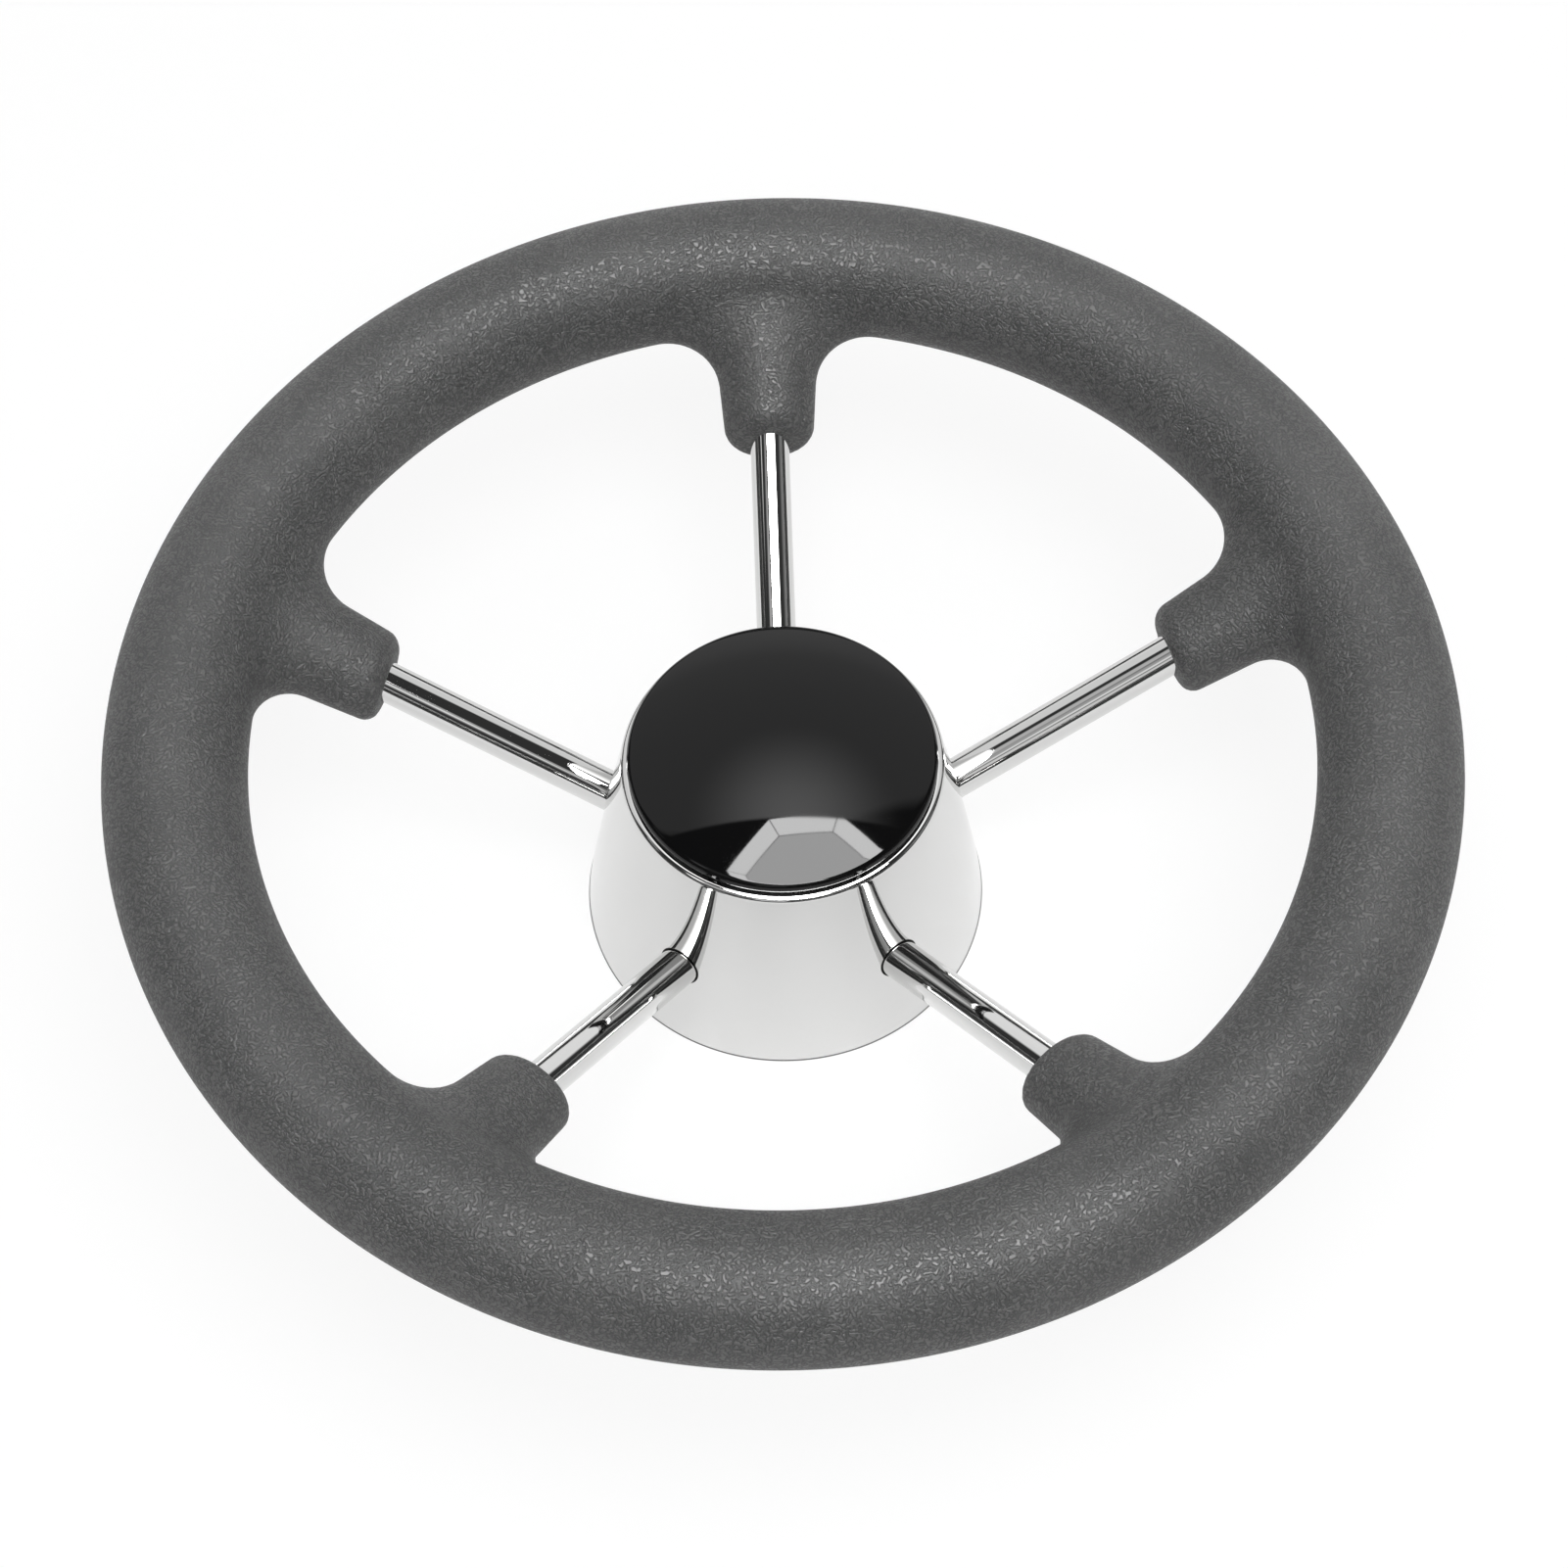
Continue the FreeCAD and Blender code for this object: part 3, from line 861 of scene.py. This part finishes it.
def bell_cover():
    """Woven walls and turned tops, outside and inside, joined at the holes, the base and the neck."""
    base = base_profile()
    layers = (
        (0.0, SHOULDER_ROLL, NECK_ROLL, LIP, 0),
        (BELL_SHEET, SHOULDER_ROLL - BELL_SHEET, NECK_ROLL - BELL_SHEET, 0.0, -1),
    )
    sheets, walls, tops, borders = [], [], [], []
    for depth, shoulder_roll, neck_roll, lip, base_end in layers:
        top = top_profile(depth, shoulder_roll, neck_roll)
        top_share = wall_share_at(depth, top_run=np.linalg.norm(wall_poles(depth)[2] - top[0]))
        base_share = wall_share_at(depth, base_run=np.linalg.norm(wall_poles(depth)[0] - base[base_end]))
        top[0] = wall_profile(top_share, depth)
        base[base_end] = wall_profile(base_share, depth)
        border = sector_border(base_share, top_share)
        walls.append(woven_sector(depth, border, SPOKE_RADIUS + HOLE_CLEARANCE + lip))
        tops.append(turned(top, TURN_ANGLES))
        borders.append(border)
    lip = hole_lip(borders[0])
    lip[-1] = walls[1][0]
    neck_end = np.stack([tops[0][-1], tops[1][-1]])
    for number in range(SPOKE_COUNT):
        angle = FIRST_SPOKE + number * SECTOR
        for sheet in (*walls, lip):
            faces = lattice(len(sheet), sheet.shape[1], wrap_columns=True)
            sheets.append((about_z(sheet.reshape(-1, 3), angle), faces))
    for strip in (*tops, turned(base, TURN_ANGLES), neck_end):
        sheets.append((strip, lattice(len(strip), TURN_STEPS, wrap_columns=True)))
    return make_piece("bell_cover", *joined(sheets))


dress(bell_cover(), FINISHES["polished_steel"], "polished_steel", "bell")

# %% [markdown]
# ## The cap
# The cap is a shallow dome with a small rounded edge, whose skirt plugs into the bell's neck. The
# dome's radius follows from its width and its crown, as a moulder would work it out.

# %% Cap
CAP_STEPS = 36
SKIRT_CHAMFER = 0.6 * MM


def arc(centre, radius, first, last, steps):
    angle = np.linspace(first, last, steps + 1)
    return np.asarray(centre) + radius * np.stack([np.cos(angle), np.sin(angle)], 1)


def cap_profile():
    """Out over the dome and its edge, down the skirt, and back up the inside to the axis."""
    edge = np.array([cap_radius - CAP_EDGE_RADIUS, bell_height + CAP_EDGE_RADIUS])
    crown = cap_top - bell_height
    rise = crown - CAP_EDGE_RADIUS
    dome_radius = (edge[0] ** 2 + crown**2 - CAP_EDGE_RADIUS**2) / (2 * rise)
    dome_centre = np.array([0, edge[1] + crown - dome_radius])
    blend = math.atan2(*(edge - dome_centre)[::-1])
    inside = CAP_SKIRT_RADIUS - CAP_WALL
    inner_dome = dome_radius - CAP_WALL
    inner_corner = math.acos(inside / inner_dome)
    return np.concatenate([
        arc(dome_centre, dome_radius, math.pi / 2, blend, CAP_STEPS),
        arc(edge, CAP_EDGE_RADIUS, blend, 0, CAP_STEPS // 3)[1:],
        arc(edge, CAP_EDGE_RADIUS, 0, -0.5 * math.pi, CAP_STEPS // 4)[1:],
        [[CAP_SKIRT_RADIUS, bell_height]],
        [[CAP_SKIRT_RADIUS, cap_bottom + SKIRT_CHAMFER]],
        [[CAP_SKIRT_RADIUS - SKIRT_CHAMFER, cap_bottom]],
        [[inside, cap_bottom]],
        arc(dome_centre, inner_dome, inner_corner, math.pi / 2, CAP_STEPS),
    ])


def domed_cap():
    profile = cap_profile()
    profile[np.abs(profile[:, 0]) < MERGE_DISTANCE, 0] = 0
    return make_piece("gloss_cap", *joined([
        (turned(profile, TURN_ANGLES), lattice(len(profile), TURN_STEPS, wrap_columns=True))
    ]))


dress(domed_cap(), FINISHES["gloss_black"], "gloss_black", "centre_cap")

# %% [markdown]
# ## The floor
# The wheel lies on white paper. Its shadows are faint in the photograph, so most of the paper's white
# glows by itself, and only a small share takes light and shadow. Under the bell, and in a narrow ring
# where the bell's edge meets the paper, the glow is dimmed as painted shadow. In a mirror the glow is a
# little uneven, as painted shade, and the painted crevice shadow a little wider.

# %% Floor
FLOOR_SIZE = 6.0
FLOOR_GREY = 0.8
SHADOW_SHARE_SEEN = 0.22
SHADOW_SHARE_MIRRORED = 0.3
LEAST_GLOWING_SHARE = 0.01
UNEVENNESS = 0.05
UNEVENNESS_SCALE = 9.0
FLOOR_WHITE = 1.02
FLOOR_LIT = 0.8
# Widths of the painted crevice shadow at the bell's edge, and the glow left under the bell as painted
# shadow.
PAINTED_CREVICE_SHADOW_WIDTH = 0.12 * MM
MIRRORED_PAINTED_CREVICE_SHADOW_WIDTH = 0.25 * MM
PAINTED_SHADOW_UNDER_BELL = 0.02


def floor_paper():
    """Paper that glows and takes light at once, so that its shadows stay as faint as its shares say."""
    paper = Finish("floor_paper", Base_Color=(FLOOR_GREY, FLOOR_GREY, FLOOR_GREY, 1), Roughness=0.9)
    rays = paper.node("ShaderNodeLightPath")
    camera, glossy = rays.outputs["Is Camera Ray"], rays.outputs["Is Glossy Ray"]
    share = paper.math(
        "ADD",
        paper.math("MULTIPLY", camera, 1 - SHADOW_SHARE_SEEN),
        paper.math("MULTIPLY", glossy, 1 - SHADOW_SHARE_MIRRORED),
    )
    lit_part = paper.math("MULTIPLY", paper.math("SUBTRACT", 1.0, share), FLOOR_LIT)
    glowing_part = paper.math("SUBTRACT", FLOOR_WHITE, lit_part)
    glow = paper.math("DIVIDE", glowing_part, paper.math("MAXIMUM", share, LEAST_GLOWING_SHARE))
    # Painted shade: a slow noise makes the glow that mirrors see a little uneven.
    unevenness = paper.noise(UNEVENNESS_SCALE, 1.0)
    uneven = paper.ranged(unevenness, NOISE_SPAN, (1 - UNEVENNESS, 1 + UNEVENNESS))
    mirrored_glow = paper.math("MULTIPLY", glow, uneven)
    chosen = paper.node("ShaderNodeMix", {"data_type": "FLOAT"}, _0=glossy, _2=glow, _3=mirrored_glow)
    # Painted shadow: the glow is dimmed under the bell and in a narrow ring at its edge, wider in mirrors.
    reach = paper.vector("LENGTH", _0=paper.place)
    width = paper.math("ADD", PAINTED_CREVICE_SHADOW_WIDTH, paper.math("MULTIPLY", glossy, MIRRORED_PAINTED_CREVICE_SHADOW_WIDTH - PAINTED_CREVICE_SHADOW_WIDTH))
    past_base = paper.math("DIVIDE", paper.math("SUBTRACT", reach, bell_base_radius), width)
    painted_shadow_factor = paper.ranged(past_base, (0.0, 1.0), (PAINTED_SHADOW_UNDER_BELL, 1.0))
    strength = paper.math("MULTIPLY", chosen.outputs[0], painted_shadow_factor)
    white = paper.node("ShaderNodeEmission", Color=(1, 1, 1, 1), Strength=strength)
    mix = paper.node("ShaderNodeMixShader", _0=share, _1=paper.shader.outputs[0], _2=white.outputs[0])
    paper.tree.links.new(mix.outputs[0], paper.tree.nodes["Material Output"].inputs["Surface"])
    return paper.material


floor_corners = np.array([[-1, -1, 0], [1, -1, 0], [1, 1, 0], [-1, 1, 0]])
floor_points = floor_corners * FLOOR_SIZE / 2
floor = make_piece("floor", floor_points, np.array([[0, 1, 2, 3]]), merge=False)
floor.data.materials.append(floor_paper())
print(f"floor: {FLOOR_SIZE} m square")

# %% [markdown]
# ## The studio's air
# A polished part shows its studio, so the studio is built from what the photograph's tubes and bell
# mirror. Behind the wheel stands a white wall with a soft glow above it. To the left and the right the
# studio is dark, which draws the black lines along the tubes. An eight-sided softbox hangs overhead, a
# little to the right and to the camera's side: a bright border, an inner cloth, and seams between its
# sides. A dark stand covers one of its corners. Two small lamps and a few cards stand about.
#
# A panel is a span of azimuths and of elevations in degrees, a glow, and how softly it ends. Azimuth 0
# is to the wheel's right and 90 behind it. Each panel stands before those that came earlier.
# Only mirrors see all this: the camera sees plain white, and the foam gets an even grey light.

# %% The studio's panels and lamps
AIR_FOR_SHAPE = 0.5
DARK_STUDIO = 0.04
FRONT_CARD = (-150, -52), (33, 52), 0.45, 5.0
FRONT_STRIP = (-112, -70), (36, 42), 1.0, 2.0
DARK_STAND = (-62, 20), (44, 61), DARK_STUDIO, 2.0
LOW_FRONT_CARD = (-108, -90), (18, 31), 0.8, 1.5
BACK_WALL = (38, 138), (-20, 35), 1.0, 5.0
BACK_CEILING = (24, 167), (24, 100), 0.85, 4.0
LEFT_STRIP = (176, 186), (36, 40), 1.0, 1.0
LEFT_CARD = (198, 230), (50, 62), 0.6, 5.0
RIGHT_CARD = (-15, 10), (5, 35), 0.25, 8.0
FRONT_LEFT_LAMP = (-149.0, 44.0)
FRONT_LEFT_GLOW = 2.2
FRONT_RIGHT_LAMP = (-45.0, 49.0)
FRONT_RIGHT_GLOW = 4.0
SMALL_LAMP_HALF_ANGLE = math.radians(4.5)
HALO_WAY = unit(np.array([0.05, 0.14, 0.988]))
HALO_HALF_ANGLE = math.radians(15)
HALO_GLOW = 3.4
FRONT_HALF_WAY = unit(np.array([0, -1, 0.135]))

# %% The softbox's sizes, each as a share of its distance
SOFTBOX_WAY = unit(np.array([0.125, -0.26, 0.957]))
SOFTBOX_TURN = math.radians(-5.0)
HALF_SIDE = math.radians(22.5)
BORDER_REACH = 0.43
BORDER_GLOW = 24.0
BORDER_SOFTNESS = 0.003
CLOTH_REACH = 0.322
CLOTH_GLOW = 14.2
SEAM_WIDTH = 0.006
SEAM_GLOW = 7.0
SEAM_SOFTNESS = 0.002


# %% The studio's air
def way_of(angles):
    """The unit vector at an azimuth and an elevation in degrees."""
    azimuth, elevation = np.radians(angles)
    level = np.cos(elevation)
    return np.array([level * np.cos(azimuth), level * np.sin(azimuth), np.sin(elevation)])


class Air(Nodes):
    """The world's nodes, and the way each ray looks: its azimuth and its elevation in degrees."""

    def __init__(self, name):
        world = bpy.data.worlds.new(name)
        bpy.context.scene.world = world
        world.use_nodes = True
        self.tree = world.node_tree
        self.way = self.node("ShaderNodeTexCoord").outputs["Generated"]
        x, y, z = self.node("ShaderNodeSeparateXYZ", Vector=self.way).outputs
        self.azimuth = self.math("DEGREES", self.math("ARCTAN2", y, x))
        self.elevation = self.math("DEGREES", self.math("ARCSINE", z))
        self.glow = DARK_STUDIO

    def window(self, value, half, softness):
        """One inside the half width, nought outside it, with a soft step between."""
        return self.ranged(value, (half - softness, half + softness), (1.0, 0.0), "SMOOTHSTEP")

    def cover(self, inside, glow):
        """What is inside takes this glow, and the rest keeps what it has."""
        kept = self.math("MULTIPLY", self.glow, self.math("SUBTRACT", 1.0, inside))
        self.glow = self.math("ADD", kept, self.math("MULTIPLY", inside, glow))

    def panel(self, azimuths, elevations, glow, softness):
        """A panel between two azimuths and two elevations, in front of those made before it."""
        middle, half = sum(azimuths) / 2, (azimuths[1] - azimuths[0]) / 2
        off_middle = self.math("SUBTRACT", self.azimuth, middle)
        turn = self.math("ABSOLUTE", self.math("WRAP", off_middle, 180.0, -180.0))
        level, tall = sum(elevations) / 2, (elevations[1] - elevations[0]) / 2
        rise = self.math("ABSOLUTE", self.math("SUBTRACT", self.elevation, level))
        across, upright = self.window(turn, half, softness), self.window(rise, tall, softness)
        self.cover(self.math("MULTIPLY", across, upright), glow)

    def along(self, way):
        """How far the ray goes along a way, as a share of its own length."""
        return self.vector("DOT_PRODUCT", _0=self.way, _1=tuple(way))

    def disc(self, way, half_angle, glow, softness=0.01):
        """A round lamp: lit where the ray is within the half angle of its way."""
        off_axis = self.math("ARCCOSINE", self.along(way))
        self.cover(self.window(off_axis, half_angle, softness), glow)

    def softbox(self, way):
        """An eight-sided lamp: a border with a seam at each corner, then the inner cloth in its seam."""
        side_way = unit(np.cross((0, 1, 0), way))
        ahead = self.along(way)
        x = self.math("DIVIDE", self.along(side_way), ahead)
        y = self.math("DIVIDE", self.along(np.cross(way, side_way)), ahead)
        square = self.math("ADD", self.math("POWER", x, 2.0), self.math("POWER", y, 2.0))
        from_middle = self.math("SQRT", square)
        angle = self.math("ADD", self.math("ARCTAN2", y, x), SOFTBOX_TURN)
        from_side = self.math("WRAP", angle, HALF_SIDE, -HALF_SIDE)
        reach = self.math("MULTIPLY", from_middle, self.math("COSINE", from_side))
        to_corner = self.math("SUBTRACT", HALF_SIDE, self.math("ABSOLUTE", from_side))
        off_seam = self.math("MULTIPLY", from_middle, to_corner)
        in_front = self.math("GREATER_THAN", ahead, 0.0)
        border = self.math("MULTIPLY", in_front, self.window(reach, BORDER_REACH, BORDER_SOFTNESS))
        corner_seams = self.window(off_seam, SEAM_WIDTH / 2, SEAM_SOFTNESS)
        self.cover(border, BORDER_GLOW)
        self.cover(self.math("MULTIPLY", border, corner_seams), SEAM_GLOW)
        for half, glow in ((CLOTH_REACH + SEAM_WIDTH, SEAM_GLOW), (CLOTH_REACH, CLOTH_GLOW)):
            self.cover(self.math("MULTIPLY", in_front, self.window(reach, half, SEAM_SOFTNESS)), glow)


def front_half(air):
    """What stands before the wheel and over it, from the farthest to the nearest."""
    air.panel(*FRONT_CARD)
    air.panel(*FRONT_STRIP)
    air.disc(way_of(FRONT_LEFT_LAMP), SMALL_LAMP_HALF_ANGLE, FRONT_LEFT_GLOW)
    air.disc(way_of(FRONT_RIGHT_LAMP), SMALL_LAMP_HALF_ANGLE, FRONT_RIGHT_GLOW)
    air.softbox(SOFTBOX_WAY)
    air.panel(*DARK_STAND)
    air.panel(*LOW_FRONT_CARD)
    return air.glow


def studio_air():
    """The back half and the front half over it, for mirrors: the camera and the foam see neither."""
    air = Air("studio_air")
    front = front_half(air)
    air.glow = DARK_STUDIO
    air.panel(*BACK_WALL)
    air.panel(*BACK_CEILING)
    air.disc(HALO_WAY, HALO_HALF_ANGLE, HALO_GLOW, softness=HALO_HALF_ANGLE)
    air.disc(FRONT_HALF_WAY, math.radians(90), front)
    for card in (LEFT_STRIP, LEFT_CARD, RIGHT_CARD):
        air.panel(*card)
    rays = air.node("ShaderNodeLightPath")
    glossy, camera = rays.outputs["Is Glossy Ray"], rays.outputs["Is Camera Ray"]
    seen = air.math("ADD", air.math("MULTIPLY", glossy, air.glow), camera)
    neither = air.math("SUBTRACT", air.math("SUBTRACT", 1.0, glossy), camera)
    strength = air.math("ADD", seen, air.math("MULTIPLY", neither, AIR_FOR_SHAPE))
    background = air.tree.nodes["Background"]
    background.inputs["Color"].default_value = (1, 1, 1, 1)
    air.tree.links.new(strength, background.inputs["Strength"])
    return air


print(f"studio's air: {len(studio_air().tree.nodes)} nodes")

# %% [markdown]
# ## The lamp
# Under an even light the foam's grain would look flat, so one soft lamp lights it from the softbox's
# place. Mirrors already see the softbox in the air, so they don't see the lamp.

# %% The lamp
LAMP_WATTS = 9.0
LAMP_DISTANCE = 1.25
LAMP_HALF_ANGLE = math.radians(23.6)


def overhead_lamp():
    """A disc that lights the wheel from the softbox's way, about as wide as the softbox looks."""
    data = bpy.data.lights.new("overhead_lamp", "AREA")
    data.shape = "DISK"
    data.size = 2 * LAMP_DISTANCE * math.tan(LAMP_HALF_ANGLE)
    data.energy = LAMP_WATTS
    lamp = bpy.data.objects.new("overhead_lamp", data)
    lamp.location = SOFTBOX_WAY * LAMP_DISTANCE
    lamp.rotation_euler = Vector(SOFTBOX_WAY).to_track_quat("Z", "Y").to_euler()
    lamp.visible_glossy = False
    bpy.context.scene.collection.objects.link(lamp)


overhead_lamp()
print(f"lamp: {LAMP_WATTS} W, {LAMP_DISTANCE} m from the floor's middle")

# %% [markdown]
# ## Last steps
# The render reads colours as they are written, with no film look.

# %% Finish
bpy.context.scene.view_settings.view_transform = "Standard"
